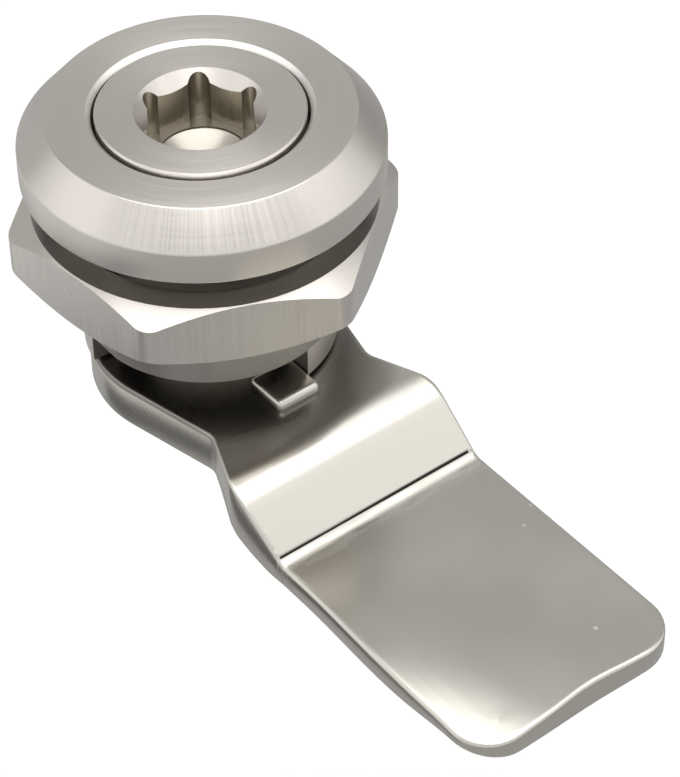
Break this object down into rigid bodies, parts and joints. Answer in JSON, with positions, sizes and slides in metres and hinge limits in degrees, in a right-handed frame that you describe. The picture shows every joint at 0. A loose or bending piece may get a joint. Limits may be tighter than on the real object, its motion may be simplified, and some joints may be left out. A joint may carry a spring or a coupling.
{
  "type": "quarter-turn cam lock",
  "caption": "Round-flanged stainless quarter-turn cam lock with a hexagon socket rotor, hexagon mounting nut and a cranked latch cam that turns between stops.",
  "frame": {"origin": "middle of the flange's seating face, on the lock's axis", "axes": "+Z out of the front of the door, +X along the cam as it lies at rest, +Y across the cam"},
  "size_m": [0.0605, 0.0286, 0.0313],
  "materials": {
    "housing_steel": "satin turned stainless steel",
    "nut_steel": "milled stainless steel with fine vertical lines",
    "rotor_steel": "satin turned stainless steel",
    "cam_steel": "polished stainless steel",
    "fastener_steel": "plain stainless fastener",
    "spring_steel": "dark spring steel",
    "seal_rubber": "matt black rubber",
    "washer_plastic": "natural acetal"
  },
  "bodies": {
    "housing": {"housing": "housing_steel", "flange_seal": "seal_rubber", "mounting_nut": "nut_steel", "thrust_washer": "washer_plastic", "wave_washer": "spring_steel"},
    "rotor": {"rotor": "rotor_steel", "rotor_seal": "seal_rubber", "retaining_ring": "spring_steel", "cam": "cam_steel", "cam_washer": "fastener_steel", "spring_washer": "fastener_steel", "cam_bolt": "fastener_steel"}
  },
  "joints": [
    {"name": "rotor_turn", "type": "hinge", "parent": "housing", "child": "rotor", "pos_m": [0, 0, 0], "axis": [0, 0, -1], "range_deg": [0, 90]}
  ]
}
